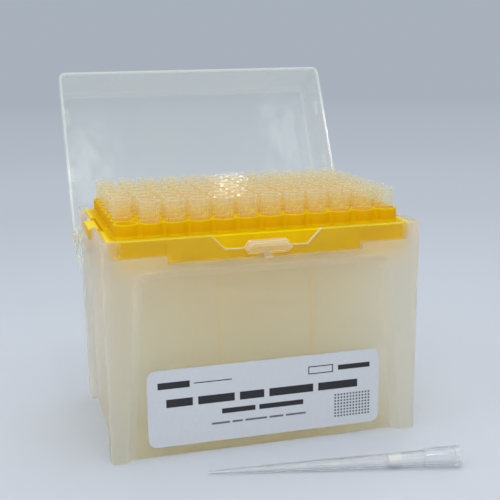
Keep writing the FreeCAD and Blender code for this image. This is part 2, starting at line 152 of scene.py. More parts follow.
# %% Signals
class Signal:
    def __init__(self, tree, socket):
        self.tree = tree
        self.socket = socket

    def math(self, operation, *others):
        inputs = dict(enumerate((self,) + others))
        return self.tree.node("ShaderNodeMath", {"operation": operation}, inputs)

    def __add__(self, other):
        return self.math("ADD", other)

    def __mul__(self, other):
        return self.math("MULTIPLY", other)

    __radd__ = __add__
    __rmul__ = __mul__

    def __sub__(self, other):
        return self.math("SUBTRACT", other)

    def __rsub__(self, other):
        return self.tree.node("ShaderNodeMath", {"operation": "SUBTRACT"}, {0: other, 1: self})

    def __truediv__(self, other):
        return self.math("DIVIDE", other)

    def __pow__(self, other):
        return self.math("POWER", other)

    def __abs__(self):
        return self.math("ABSOLUTE")

    def __or__(self, other):
        return self.math("MAXIMUM", other)

    def __and__(self, other):
        return self.math("MINIMUM", other)

    def ramp(self, low, high):
        """0 at low, 1 at high, eased at both ends."""
        settings = {"interpolation_type": "SMOOTHSTEP"}
        inputs = {"Value": self, "From Min": low, "From Max": high}
        return self.tree.node("ShaderNodeMapRange", settings, inputs)


print("Signal can", [name for name in vars(Signal) if name.strip("_") == name])

# %% [markdown]
# `ShaderTree` is a new material, or the world's own nodes.  Every node comes
# from one method, `node`, which takes its type, its settings, then the values
# or links of its sockets.  The shorter methods only name what this object
# needs often: a piece's own coordinates in millimetres, noise, a colour mix
# and the plastic shader.

# %% Shader trees
def set_stops(ramp, stops):
    while len(ramp.elements) < len(stops):
        ramp.elements.new(0.5)
    for element, (position, colour) in zip(ramp.elements, stops):
        element.position = position
        element.color = colour


class ShaderTree:
    def __init__(self, name, world=None):
        self.owner = world or bpy.data.materials.new(name)
        self.owner.use_nodes = True
        self.nodes = self.owner.node_tree.nodes
        self.links = self.owner.node_tree.links
        self.nodes.clear()
        self.output_kind = "ShaderNodeOutputWorld" if world else "ShaderNodeOutputMaterial"

    def node(self, kind, settings=None, inputs=None, output=0):
        made = self.nodes.new(kind)
        for key, value in (settings or {}).items():
            if key == "stops":
                set_stops(made.color_ramp, value)
            else:
                setattr(made, key, value)
        for key, value in (inputs or {}).items():
            if isinstance(value, Signal):
                self.links.new(value.socket, made.inputs[key])
            else:
                made.inputs[key].default_value = value
        return Signal(self, made.outputs[output]) if made.outputs else made

    def place(self):
        """The piece's own x, y and z in millimetres."""
        coords = self.node("ShaderNodeTexCoord", output="Object")
        parts = self.node("ShaderNodeSeparateXYZ", inputs={0: coords}).socket.node
        return [Signal(self, parts.outputs[axis]) / MM for axis in range(3)]

    def attribute(self, name):
        return self.node("ShaderNodeAttribute", {"attribute_name": name}, output="Fac")

    def noise(self, size, detail=3.0, stretch=(1, 1, 1)):
        """Noise about 0.5 whose patches are about size millimetres across."""
        coords = self.node("ShaderNodeTexCoord", output="Object")
        mapped = self.node("ShaderNodeMapping", inputs={"Vector": coords, "Scale": stretch})
        inputs = {"Vector": mapped, "Scale": 1 / (size * MM), "Detail": detail}
        return self.node("ShaderNodeTexNoise", inputs=inputs)

    def mix(self, factor, first, second):
        inputs = {0: factor, 6: first, 7: second}
        return self.node("ShaderNodeMix", {"data_type": "RGBA"}, inputs, output=2)

    def bump(self, height, depth):
        """Relief: a height from 0 to 1, and how many millimetres deep it goes."""
        return self.node("ShaderNodeBump", inputs={"Height": height, "Distance": depth * MM})

    def facing(self):
        """0 where the surface faces the eye, 1 where it turns away."""
        return self.node("ShaderNodeLayerWeight", inputs={"Blend": 0.5}, output="Facing")

    def plastic(self, **inputs):
        named = {key.replace("_", " "): value for key, value in inputs.items()}
        return self.node("ShaderNodeBsdfPrincipled", inputs=named)

    def glow(self, colour):
        """Light that soaks through from the other side."""
        return self.node("ShaderNodeBsdfTranslucent", inputs={"Color": colour})

    def clear(self, colour):
        """Light that goes straight through."""
        return self.node("ShaderNodeBsdfTransparent", inputs={"Color": colour})

    def blend(self, factor, first, second):
        return self.node("ShaderNodeMixShader", inputs={0: factor, 1: first, 2: second})

    def done(self, shader):
        self.node(self.output_kind, inputs={"Surface": shader})
        return self.owner


print("ShaderTree can", [name for name in vars(ShaderTree) if name.strip("_") == name])

# %% [markdown]
# Shaders want linear light, but a colour is easiest to name by the 0 to 255
# values that a screen shows, so one function turns one into the other.  A
# screen's mid grey is only about a fifth of full light, which is why colours
# typed straight into a socket come out too pale.

# %% Colours
def srgb(red, green, blue):
    linear = []
    for value in (red, green, blue):
        share = value / 255
        linear.append(share / 12.92 if share < 0.04045 else ((share + 0.055) / 1.055) ** 2.4)
    return (*linear, 1)


print("mid grey is", [round(value, 3) for value in srgb(128, 128, 128)])

# %% [markdown]
# ## The bench and its light
#
# The box stands on a pale bench that runs back into a soft grey-blue, with no
# horizon.  A curved paper sweep would do that in a studio.  A disc sixty
# metres wide does it here: its colour eases from pale near the box to the
# grey-blue of the world far away, so the two meet without a line.  Near the
# box it is a real surface, so that it takes the shadow.  Further off no lamp
# reaches it evenly, so it gives off its colour itself.

# %% Bench
HAZE = srgb(168, 177, 187)
BENCH_STOPS = [(0.0, srgb(206, 213, 223)), (0.06, srgb(204, 211, 222)),
               (0.2, srgb(188, 197, 207)), (0.4, srgb(178, 187, 197)), (1.0, HAZE)]
LAST_STOP_AT = 2700
GLOWS_FROM, GLOWS_FULLY = 220, 800
BENCH_RADIUS = 30.0
BELOW_THE_BOX = 0.1


def bench_finish():
    tree = ShaderTree("bench")
    x, y, _ = tree.place()
    radius = (x * x + y * y) ** 0.5
    colour = tree.node("ShaderNodeValToRGB", {"stops": BENCH_STOPS}, {0: radius / LAST_STOP_AT})
    near = tree.plastic(Base_Color=colour, Roughness=0.7)
    far = tree.node("ShaderNodeEmission", inputs={"Color": colour})
    return tree.done(tree.blend(radius.ramp(GLOWS_FROM, GLOWS_FULLY), near, far))


def mesh_of(shape, name):
    """A mesh made from a bmesh, which is freed."""
    mesh = bpy.data.meshes.new(name)
    shape.to_mesh(mesh)
    shape.free()
    return mesh


def lay_bench():
    shape = bmesh.new()
    bmesh.ops.create_circle(shape, cap_ends=True, segments=96, radius=BENCH_RADIUS)
    bmesh.ops.translate(shape, verts=shape.verts, vec=mm(0, 0, -BELOW_THE_BOX))
    bench = put("bench", mesh_of(shape, "bench"))
    bench.data.materials.append(bench_finish())
    return bench


print("bench", lay_bench().dimensions.x, "m across")

# %% [markdown]
# Clear plastic shows whatever stands round it, so the lights are large soft
# boxes: one overhead, one in front, one like a window on the left, one low
# behind on the right.  Their sum is kept at the level where a colour renders
# about as it is written.  Three small lamps add next to no light.  One stands
# low behind, just where the flat tops of the tips' mouths throw it at the
# eye, and makes them sparkle; the other two leave soft streaks on the lid.

# %% Soft boxes
# name, place, the point it is aimed at, width and height, all in metres, and watts
SOFT_BOXES = [
    ("overhead", (0.1, 0.1, 1.4), (0, 0, 0), (1.6, 1.2), 6.3),
    ("front", (-0.5, -1.5, 0.9), (0, 0, 0.05), (1.4, 0.9), 6.3),
    ("left_window", (-1.3, -0.2, 0.8), (0, 0, 0.05), (0.8, 1.0), 3),
    ("back_right", (0.9, 1.0, 0.9), (0, 0, 0.05), (0.5, 0.8), 1.5),
    ("glint_back", (0.26, 1.064, 0.237), (0, 0, 0.098), (0.05, 0.05), 0.25),
    ("glint_right", (0.39, -0.62, 0.88), (0.05, 0.08, 0.1), (0.04, 0.14), 0.5),
    ("glint_left", (0.055, -0.67, 0.89), (-0.05, 0.08, 0.09), (0.04, 0.14), 0.5),
]


def soft_box(name, place, aim, size, watts):
    light = bpy.data.lights.new(name, "AREA")
    light.shape = "ELLIPSE"
    light.size, light.size_y = size
    light.energy = watts
    lamp = put(name, light)
    lamp.location = place
    lamp.rotation_euler = (Vector(aim) - Vector(place)).to_track_quat("-Z", "Y").to_euler()
    return watts


print("watts", sum(soft_box(*row) for row in SOFT_BOXES))

# %% [markdown]
# The world adds the light of a white room, which falls on everything that
# scatters light.  What is seen of the world itself, straight on, in a gloss
# or through clear plastic, is the bench's far colour, so the background has
# no seam.  Light Path tells these kinds of ray apart.

# %% World
ROOM = (0.97, 0.985, 1.0, 1)
ROOM_STRENGTH = 0.52


def light_room(strength):
    world = bpy.data.worlds.new("studio")
    bpy.context.scene.world = world
    tree = ShaderTree("studio", world)
    kinds = ("Is Camera Ray", "Is Glossy Ray", "Is Transmission Ray")
    straight, mirrored, passed = (tree.node("ShaderNodeLightPath", output=kind) for kind in kinds)
    room = tree.node("ShaderNodeBackground", inputs={"Color": ROOM, "Strength": strength})
    haze = tree.node("ShaderNodeBackground", inputs={"Color": HAZE})
    tree.done(tree.blend(straight | mirrored | passed, room, haze))
    return strength


print("room light", light_room(ROOM_STRENGTH))

# %% [markdown]
# ## Pieces
#
# Every piece starts as a bmesh and ends the same way: it becomes an object at
# the origin, takes its finish, rides on its body and stands for its solid.
# Copying these lines for each piece would work, and sooner or later one of
# them would be forgotten.  Smooth shading with an angle limit keeps flats flat
# and rounds round, and weighted normals stop a narrow rounding from tinting
# the flat beside it.

# %% Finish a piece
def settle(name, shape, body, finish, stands_for, angle=35):
    mesh = mesh_of(shape, name)
    mesh.shade_smooth()
    mesh.set_sharp_from_angle(angle=math.radians(angle))
    mesh.materials.append(finish)
    piece = put(name, mesh)
    weighted = piece.modifiers.new("flats", "WEIGHTED_NORMAL")
    weighted.keep_sharp = True
    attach(piece, body)
    for node in stands_for:
        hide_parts(node)
    return f"{name}: {len(mesh.polygons)} faces"


# %% [markdown]
# A moulded part has no knife edges: each one is rounded by a few tenths of a
# millimetre and catches a thin line of light.  The drawn solids have sharp
# edges.  A Bevel modifier would round them too, but it can't say afterwards
# which faces are new.  Here a copy of the solid is taken, its loose triangles
# are merged and its flats cleared, only the sharp edges are bevelled, and the
# new faces are marked, so that the finishes can paint a highlight there as a
# pale line.

# %% Round the edges of a solid
SAME_POINT = 0.002
FLAT_WITHIN = math.radians(0.5)
SHARPER_THAN = math.radians(35)


def rounded_copy(node, rounding):
    shape = bmesh.new()
    edge_line = shape.faces.layers.float.new("edge_line")
    shape.from_mesh(frame["nodes"][node].data)
    bmesh.ops.remove_doubles(shape, verts=shape.verts, dist=SAME_POINT * MM)
    bmesh.ops.dissolve_limit(shape, angle_limit=FLAT_WITHIN, verts=shape.verts, edges=shape.edges)
    sharp = [edge for edge in shape.edges
             if edge.is_manifold and edge.calc_face_angle() > SHARPER_THAN]
    rounded = bmesh.ops.bevel(shape, geom=sharp, offset=rounding * MM, affect="EDGES", segments=2,
                              profile=0.5, material=-1, clamp_overlap=True)
    # The new faces are where the finishes paint an edge highlight.
    for face in rounded["faces"]:
        face[edge_line] = 1
    print(node, "has", len(sharp), "sharp edges, rounded by", rounding, "mm")
    return shape


# %% [markdown]
# ## The base
#
# The base is a box of milky polypropylene with sunk panels between its corner
# posts.  It lets light in and blurs what is behind, except where something
# touches it: there the yellow skirt of the rack shows with a crisp edge,
# because frosted plastic blurs a thing by how far behind it stands.
#
# Rough refraction would give that blur by itself through one thick wall, but
# the wall here is thin and has two sides, so the effect is helped along: the
# wall is frosted all over, and clearer in a window whose outline follows the
# rack.  The outline is read from the rack's own height, so it stays in step.

# %% Where the rack touches the wall
LUG_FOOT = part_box("rack")[0].z / MM
SKIRT_FOOT = LUG_FOOT + 2.6
LUG_HALF = 36.6
FADES_FROM, FADED_AT = 52, 57.8
WALL_INSIDE = 39.0


def long_wall(x, y):
    """1 on the front and back walls, fading out before the corners."""
    along = 1 - abs(x).ramp(FADES_FROM, FADED_AT)
    return along * abs(y).ramp(WALL_INSIDE - 0.4, WALL_INSIDE + 0.4)


def touched(x, y, z):
    """1 where the rack's skirt or a lug lies close behind the front or back wall."""
    skirt = z.ramp(SKIRT_FOOT - 0.2, SKIRT_FOOT + 0.9)
    between_ends = 1 - abs(x).ramp(LUG_HALF - 0.6, LUG_HALF + 0.6)
    lug = z.ramp(LUG_FOOT - 0.1, LUG_FOOT + 0.9) * between_ends
    return (skirt | lug) * long_wall(x, y)


print("skirt and lugs reach down to", round(SKIRT_FOOT, 2), round(LUG_FOOT, 2), "mm")

# %% [markdown]
# The front wall is cut down in the middle, so that a thumb can lift the lid.
# The cut's rim is a bare edge of plastic that faces the lamps, and on the
# real box it is the brightest line of the whole front.  Here that highlight
# is painted on.  The bevel's own edge line is too thin for it.  The distance
# from the cut's outline, a sill with a slope at each end, gives a line of
# any width, and the milk below paints the highlight along it.

# %% Painted highlight on the rim of the thumb cut
WALL_FRONT = 42.0
SILL_Z = 77.7
SILL_HALF = 15.5
SLOPE = Vector((5.2, 5.4)).normalized()
RIM_WIDTH = 0.35


def cut_rim_highlight(x, y, z):
    """1 on the rim of the cut in the front wall, where the highlight is painted."""
    slope = (abs(x) - SILL_HALF) * SLOPE.y - (z - SILL_Z) * SLOPE.x
    inside = (SILL_Z - z) | slope
    forward = 0 - y
    past_inside = forward.ramp(WALL_INSIDE + 0.5, WALL_INSIDE + 1)
    behind_catch = 1 - forward.ramp(WALL_FRONT - 0.1, WALL_FRONT)
    return (1 - inside.ramp(RIM_WIDTH - 0.2, RIM_WIDTH)) * past_inside * behind_catch


print("the cut's slopes rise at", round(math.degrees(math.atan2(SLOPE.y, SLOPE.x)), 1), "degrees")

# %% [markdown]
# The plastic itself is almost without colour.  Light that has been through
# many tips comes out warm, and that warm light is painted into the wall's
# colour: a little warmer in the middle, along its foot and near the rack.
# The two real ribs inside the wall are painted in as faint warm lines of
# shade, and the end walls are painted a shade greyer.  Each pass through a
# wall counts, and light makes ten or more of them before it leaves the box,
# so the tints have to be very light: a few units off white.

# %% Painted light and shade in the base
RIB_AT, RIB_HALF, RIB_TOP, RIB_INSIDE = 18.0, 1.0, 71, 33
MIDDLE_FADE, FOOT_FADE, FOOT_ENDS = (15, 58), (3, 20), (46, 54)
RACK_FADE, END_WALL_AT = (60, 76), 56.8
# Painted warm light, painted shade on the end walls and painted shade lines on the ribs.
CLEAN, WARM_PAINTED_LIGHT, FOOT_PAINTED_LIGHT = srgb(253, 252, 248), srgb(255, 252, 243), srgb(255, 251, 234)
RACK_PAINTED_LIGHT, END_WALL_PAINTED_SHADE = srgb(255, 246, 214), srgb(247, 244, 235)
RIB_PAINTED_SHADE = srgb(250, 238, 200)


def inner_rib(x, y, z):
    """1 on the four ribs inside the front and back walls."""
    across = 1 - abs(abs(x) - RIB_AT).ramp(RIB_HALF - 0.6, RIB_HALF)
    upright = 1 - z.ramp(RIB_TOP - 1, RIB_TOP)
    return across * upright * abs(y).ramp(RIB_INSIDE, RIB_INSIDE + 1)


# The wall's colour with painted warm light and painted shade.
def painted_base_light(tree, x, y, z):
    middle = 1 - abs(x).ramp(*MIDDLE_FADE)
    foot = (1 - z.ramp(*FOOT_FADE)) * (1 - abs(x).ramp(*FOOT_ENDS))
    between_walls = 1 - abs(y).ramp(WALL_INSIDE - 1, WALL_INSIDE)
    end_wall = abs(x).ramp(END_WALL_AT - 0.8, END_WALL_AT) * between_walls
    tint = tree.mix(middle, CLEAN, WARM_PAINTED_LIGHT)
    tint = tree.mix(foot, tint, FOOT_PAINTED_LIGHT)
    tint = tree.mix(z.ramp(*RACK_FADE) * 0.2, tint, RACK_PAINTED_LIGHT)
    tint = tree.mix(end_wall, tint, END_WALL_PAINTED_SHADE)
    return tree.mix(inner_rib(x, y, z) * 0.5, tint, RIB_PAINTED_SHADE)


print("inner ribs at", RIB_AT, "mm each side of the middle")

# %% [markdown]
# Milky plastic is mostly clear with a small share of white that scatters: half
# of that share throws light back, half passes it on.  Subsurface scattering
# or a real volume could do it too, but in walls this thin both are slow and
# noisy.  The share rises in soft clouds and at the thick thumb catch in front.
# Under the rack it rises as painted yellow light from the rack, which also
# tints the catch.  On the rim of the cut and on every rounded edge it rises
# as a painted highlight.

# %% Milk
CREAM, DULL_CREAM = srgb(254, 249, 234), srgb(252, 246, 229)
PAINTED_RACK_YELLOW = srgb(255, 232, 150)
MILK_GLOW = srgb(255, 253, 242)
WALL_MILK, WINDOW_MILK, CLOUD_MILK = 0.08, 0.01, 0.015
# Shares for the painted edge and rim highlights, the thick catch and the painted rack light.
EDGE_HIGHLIGHT_MILK, RIM_HIGHLIGHT_MILK, CATCH_MILK, PAINTED_RACK_LIGHT_MILK = 0.65, 0.5, 0.33, 0.3


def milk(tree, cloud, rim, catch, painted_rack_light):
    grain = tree.noise(0.7, detail=2)
    cream = tree.mix(cloud, CREAM, DULL_CREAM)
    # Painted yellow light from the rack, full under it and half as strong on the catch.
    cream = tree.mix(painted_rack_light | catch * 0.5, cream, PAINTED_RACK_YELLOW)
    surface = tree.plastic(Base_Color=cream, Roughness=0.4, Normal=tree.bump(grain, 0.02))
    passed_on = 0.5 - (rim * 0.35 | catch * 0.25)
    return tree.blend(passed_on, surface, tree.glow(MILK_GLOW))


def milk_share(tree, cloud, rim, catch, painted_rack_light, touching):
    edge = tree.attribute("edge_line") * EDGE_HIGHLIGHT_MILK
    # Painted edge and rim highlights, the thick catch, and painted light from the rack.
    catch_and_painted_light = (edge | rim * RIM_HIGHLIGHT_MILK) + catch * CATCH_MILK + painted_rack_light * PAINTED_RACK_LIGHT_MILK
    return WALL_MILK - touching * (WALL_MILK - WINDOW_MILK) + cloud * CLOUD_MILK + catch_and_painted_light


print("milk glows", [round(value, 3) for value in MILK_GLOW])

# %% [markdown]
# The real base is one plastic, frosted, clearer where the rack touches it, and
# milky where it is thick.  Three materials on separate faces would be simple,
# but would meet in hard seams.  One material with masks lets them pass softly
# into each other.  The window is half rough glass and half plain passage, so
# it blurs a little and still lets the skirt's edge through.

# %% Base plastic
CATCH_AT = WALL_FRONT + 0.3
PAINTED_RACK_LIGHT_FADE = (66, 74)
WINDOW_GLASS, WINDOW_AIR = srgb(254, 253, 246), srgb(254, 252, 240)


def base_finish():
    tree = ShaderTree("milky_base")
    x, y, z = tree.place()
    cloud = tree.noise(26, detail=4, stretch=(1, 1, 0.4)).ramp(0.3, 0.7)
    touching, rim = touched(x, y, z), cut_rim_highlight(x, y, z)
    catch = (0 - y).ramp(WALL_FRONT, CATCH_AT)
    # Painted yellow light from the rack, low on the long walls under it.
    painted_rack_light = z.ramp(*PAINTED_RACK_LIGHT_FADE) * (1 - touching) * long_wall(x, y)
    frosted = tree.plastic(Base_Color=painted_base_light(tree, x, y, z), IOR=1.45, Specular_IOR_Level=0.3,
                           Transmission_Weight=1.0, Roughness=cloud * 0.05 + 0.68)
    glass = tree.plastic(Base_Color=WINDOW_GLASS, IOR=1.2, Transmission_Weight=1.0,
                         Roughness=0.25)
    window = tree.blend(0.5, glass, tree.clear(WINDOW_AIR))
    share = milk_share(tree, cloud, rim, catch, painted_rack_light, touching)
    wall = tree.blend(touching, frosted, window)
    return tree.done(tree.blend(share, wall, milk(tree, cloud, rim, catch, painted_rack_light)))


print(settle("base_shell", rounded_copy("base", rounding=0.25), "box", base_finish(),
             ["base"]))

# %% [markdown]
# ## The rack
#
# The rack is one moulding of bright yellow plastic: a deck with a round
# collar for every tip, and a skirt that fits the base.  Its walls are thin
# enough to glow, so half of its surface passes light on.
#
# A saturated colour shifts when light bounces in it: every bounce takes more
# of the green than of the red, so deep corners turn orange by themselves.
# Among the wells that happens so often that one colour all over would come
# out brown there.  So light and shade are painted into the colour by place:
# painted light makes it greener among the wells, on the deck and on the
# collars' top rims; it is plain on the skirt; painted shade makes it deeper
# round the collars and orange in the bores.

# %% Rack colour with painted light and shade
PITCH = 9.0
WELLS_END_X, WELLS_END_Y = 53.5, 35.5
DECK_Z, COLLAR_TOP = 82.4, 87.6
BORE_EDGE = 0.424
SKIRT_YELLOW, STREAK_YELLOW = srgb(250, 205, 0), srgb(246, 199, 0)
# Lit and shaded copies of the rack's yellow, painted by place.
COLLAR_SHADE_YELLOW, DECK_LIT_YELLOW = srgb(241, 191, 0), srgb(255, 238, 4)
WELL_LIT_YELLOW, BORE_SHADE_ORANGE = srgb(255, 240, 10), srgb(253, 200, 0)


def bores(x, y):
    """1 inside every collar, found by the distance to the nearest well's axis."""
    across, along = (x / PITCH).math("FRACT") - 0.5, (y / PITCH).math("FRACT") - 0.5
    radius = (across * across + along * along) ** 0.5
    inside = 1 - radius.ramp(BORE_EDGE - 0.012, BORE_EDGE)
    on_grid_x = 1 - abs(x).ramp(WELLS_END_X - 0.1, WELLS_END_X + 0.1)
    on_grid_y = 1 - abs(y).ramp(WELLS_END_Y - 0.1, WELLS_END_Y + 0.1)
    return inside * on_grid_x * on_grid_y


def rack_colour_light_and_shade(tree, x, y, z, flow):
    near_x = 1 - abs(x).ramp(WELLS_END_X - 3.5, WELLS_END_X)
    near_y = 1 - abs(y).ramp(WELLS_END_Y - 3.5, WELLS_END_Y)
    above_deck = z.ramp(DECK_Z + 0.8, DECK_Z + 1.3)
    deck = z.ramp(DECK_Z - 0.4, DECK_Z - 0.1) * (1 - above_deck)
    top_rims = z.ramp(COLLAR_TOP - 0.4, COLLAR_TOP - 0.1)
    yellow = tree.mix(flow.ramp(0.35, 0.65), SKIRT_YELLOW, STREAK_YELLOW)
    # Painted shade on the collars, painted light on the deck, the wells and the top rims.
    yellow = tree.mix(above_deck, yellow, COLLAR_SHADE_YELLOW)
    yellow = tree.mix(deck, yellow, DECK_LIT_YELLOW)
    yellow = tree.mix((near_x & near_y) | top_rims, yellow, WELL_LIT_YELLOW)
    # Painted shade in the bores.
    return tree.mix(bores(x, y), yellow, BORE_SHADE_ORANGE)


print("wells stand", PITCH, "mm apart")

# %% [markdown]
# The moulding flows out from a few gates, which leaves soft streaks in both
# colour and gloss, and a fine grain takes the edge off each reflection.  The
# skirt and the outer faces let less light through than the deck, because on
# the real rack two walls lie behind each other there.

# %% Rack plastic
RACK_GLOW = srgb(253, 238, 20)
GLOW_IN, GLOW_OUT = 0.5, 0.12
OUTSIDE_X, OUTSIDE_Y = 56.0, 38.0


def rack_finish():
    tree = ShaderTree("yellow_rack")
    x, y, z = tree.place()
    flow = tree.noise(9, detail=4)
    grain = tree.noise(0.6, detail=2)
    yellow = rack_colour_light_and_shade(tree, x, y, z, flow)
    solid = tree.plastic(Base_Color=yellow, Roughness=flow * 0.12 + 0.34,
                         Specular_IOR_Level=0.1, Normal=tree.bump(grain, 0.02))
    ends = abs(x).ramp(OUTSIDE_X - 0.4, OUTSIDE_X + 0.4)
    outside = abs(y).ramp(OUTSIDE_Y - 0.4, OUTSIDE_Y + 0.4) | ends
    glow = GLOW_IN - outside * (GLOW_IN - GLOW_OUT)
    return tree.done(tree.blend(glow, solid, tree.glow(RACK_GLOW)))


print(settle("rack_body", rounded_copy("rack", rounding=0.2), "box", rack_finish(),
             ["rack"]))

# %% [markdown]
# ## The lid
#
# The lid is a thin clear box, swung back on its hinge.  Its rim is thicker and
# whiter, and a pale line runs round its top where the walls fold into the
# panel: in both the thicker plastic is helped by a painted highlight.  Both
# are easy to place on a shut lid, by the height and the distance from its
# sides.  But this lid stands open, so its coordinates are first turned back
# by the hinge's own angle, which comes with the frame, and the finish is
# painted as if shut.

# %% Heights on the open lid
hinge = frame["record"]["behaviour"]["joints"][0]
HINGE_Y, HINGE_Z = (value / MM for value in hinge["pos_m"][1:])
OPEN_TURN = math.radians(hinge["range_deg"][1])


def shut_place(tree):
    """Where a point of the open lid would be with the lid shut, in mm."""
    x, y, z = tree.place()
    back, up = y - HINGE_Y, z - HINGE_Z
    turned_y = back * math.cos(OPEN_TURN) - up * math.sin(OPEN_TURN)
    turned_z = back * math.sin(OPEN_TURN) + up * math.cos(OPEN_TURN)
    return x, turned_y + HINGE_Y, turned_z + HINGE_Z


print("hinge at", HINGE_Y, HINGE_Z, "mm, opened by", round(math.degrees(OPEN_TURN), 1))

# %% [markdown]
# Thin clear sheet hardly bends light, so glass would be the wrong shader: it
# darkens with every wall.  Here light goes straight through, and a haze lies
# over it that thickens where the wall turns away.  It is thicker too at the
# rim and at the fold, thicker plastic with a painted highlight, and on the
# rounded edges, where it is a painted highlight.  The haze is a soft sheen
# whose surface is a little wavy, as moulded sheet is, which spreads a lamp
# into long pale streaks.

# %% Lid plastic
LID_RIM, LID_TOP = 80.7, 102.8
LID_HALF_X, LID_HALF_Y, LID_MIDDLE_Y = 60.8, 42.8, -0.4
LID_WHITE = srgb(250, 251, 246)
EVEN_HAZE, SWIRL_HAZE, TURNED_HAZE = 0.05, 0.08, 0.5
# Haze shares of the painted highlights at the rim, the fold and the rounded edges.
RIM_HIGHLIGHT_HAZE, FOLD_HIGHLIGHT_HAZE, EDGE_HIGHLIGHT_HAZE = 0.45, 0.12, 0.3


def lid_haze(tree, swirl):
    x, y, height = shut_place(tree)
    rim = 1 - height.ramp(LID_RIM + 0.3, LID_RIM + 1.7)
    past_side = (abs(x) - LID_HALF_X) | (abs(y - LID_MIDDLE_Y) - LID_HALF_Y)
    fold = past_side.ramp(-2.4, -1.2) * height.ramp(LID_TOP - 2.6, LID_TOP - 1.4)
    even = swirl * SWIRL_HAZE + EVEN_HAZE
    # Thicker plastic and a painted highlight at the rim and fold, a painted highlight on the
    # edges.
    thick_and_painted_highlight = rim * RIM_HIGHLIGHT_HAZE + fold * FOLD_HIGHLIGHT_HAZE + tree.attribute("edge_line") * EDGE_HIGHLIGHT_HAZE
    return tree.facing() ** 3.0 * TURNED_HAZE + even + thick_and_painted_highlight


def lid_finish():
    tree = ShaderTree("clear_lid")
    swirl = tree.noise(34, detail=3, stretch=(1, 0.5, 1))
    sheen = tree.plastic(Base_Color=LID_WHITE, Roughness=0.12, IOR=1.6,
                         Normal=tree.bump(swirl, 0.6))
    pale = tree.blend(0.45, sheen, tree.glow(LID_WHITE))
    see_through = tree.clear(srgb(254, 255, 254))
    return tree.done(tree.blend(lid_haze(tree, swirl), see_through, pale))


print(settle("lid_shell", rounded_copy("lid", rounding=0.25), "lid", lid_finish(),
             ["lid"]))

# %% [markdown]
# ## The tips
#
# A pipette tip is a long hollow cone.  Its head has a plain band round the
# mouth, and under it a skirt of fine upright ribs that grips the pipette's
# nose and keeps the tip straight in its well.  It is round, so its profile is
# drawn once as a line of points and spun.  A lathe of rings worked out by
# hand would give the same mesh with more to read and more to get wrong.

# %% Turn a profile
TIP_SIDES = 36


def turned_shape(profile, sides):
    """Closed solid of revolution about Z from (radius, height) points in mm."""
    shape = bmesh.new()
    corners = [shape.verts.new(mm(radius, 0, height)) for radius, height in profile]
    edges = [shape.edges.new(pair) for pair in zip(corners, corners[1:] + corners[:1])]
    bmesh.ops.spin(shape, geom=corners + edges, cent=(0, 0, 0), axis=(0, 0, 1),
                   angle=math.tau, steps=sides, use_merge=True)
    bmesh.ops.remove_doubles(shape, verts=shape.verts, dist=SAME_POINT * MM)
    bmesh.ops.recalc_face_normals(shape, faces=shape.faces)
    return shape


print("each step of a tip's spin is", 360 / TIP_SIDES, "degrees")

# %% [markdown]
# The ribs are pressed in by moving every second column of the skirt a seventh
# of a millimetre towards the axis.  A bump texture would be lighter, but its
# ribs would vanish in the outline.

# %% Ribs round the skirt
HEAD_BAND = 2.4
OUTSIDE_FROM = 3.3
RIB_DEPTH = 0.14


def press_ribs(shape):
    pressed = 0
    for vert in shape.verts:
        height, radius = vert.co.z / MM, vert.co.xy.length / MM
        column = round(math.atan2(vert.co.y, vert.co.x) / math.tau * TIP_SIDES)
        if column % 2 and radius > OUTSIDE_FROM and height < 0.05 - HEAD_BAND:
            vert.co.xy *= (radius - RIB_DEPTH) / radius
            pressed += 1
    return pressed


print("ribs round a skirt", TIP_SIDES // 2)

# %% [markdown]
# The bore goes right down to the point only in the loose tip, where it shows.
# In the rack the lower bodies stand deep in the milky base, so there the bore
# stops under the filter, and each of the ninety-five tips is lighter to
# trace.  Every vertex keeps its depth below the mouth in an attribute, so the
# finish can follow the tip wherever it stands or lies.

# %% One tip
TIP_LENGTH = 90.5
SEAT_DEPTH = 12.9
HEAD_RADIUS, POINT_RADIUS = 3.75, 0.5
LIP = [(3.15, -0.12), (3.27, 0), (3.63, 0), (HEAD_RADIUS, -0.12)]
HEAD = [(HEAD_RADIUS, -HEAD_BAND + 0.1), (3.6, -HEAD_BAND), (3.4, -SEAT_DEPTH)]
BODY = [(2.9, -SEAT_DEPTH), (2.6, -22.4), (2.1, -46.5), (1.15, -78.9),
        (POINT_RADIUS, -TIP_LENGTH)]
BORE_TOP = [(2.05, -22.4), (2.35, -SEAT_DEPTH)]
LONG_BORE = [(0.25, -TIP_LENGTH), (1.55, -46.5)] + BORE_TOP
SHORT_BORE = [(0.02, -TIP_LENGTH), (0.02, -27.0), (1.94, -27.0)] + BORE_TOP


def tip_shape(bore):
    shape = turned_shape(LIP + HEAD + BODY + bore, TIP_SIDES)
    pressed = press_ribs(shape)
    depth = shape.verts.layers.float.new("depth")
    for vert in shape.verts:
        vert[depth] = -vert.co.z / MM
    print("tip with", len(shape.faces), "faces,", pressed, "rib points pressed in")
    return shape


# %% [markdown]
# Rows are filled by copying one finished tip along the wells.  Ninety-five
# separate objects would work as well, but a row is what a twelve-channel
# pipette picks up at one go, and the drawing keeps each row together too.

# %% Fill a row
COLUMNS = 12
ROWS = "abcdefgh"


def row_of(pattern, row, first_column, top):
    """Copies of a mesh along one row of wells, raised by top millimetres."""
    shape = bmesh.new()
    for column in range(first_column, COLUMNS):
        before = set(shape.verts)
        shape.from_mesh(pattern)
        fresh = [vert for vert in shape.verts if vert not in before]
        across, back = column - (COLUMNS - 1) / 2, row - (len(ROWS) - 1) / 2
        spot = mm(PITCH * across, PITCH * back, top)
        bmesh.ops.translate(shape, verts=fresh, vec=spot)
    return shape


print("wells", COLUMNS * len(ROWS), "at", PITCH, "mm")

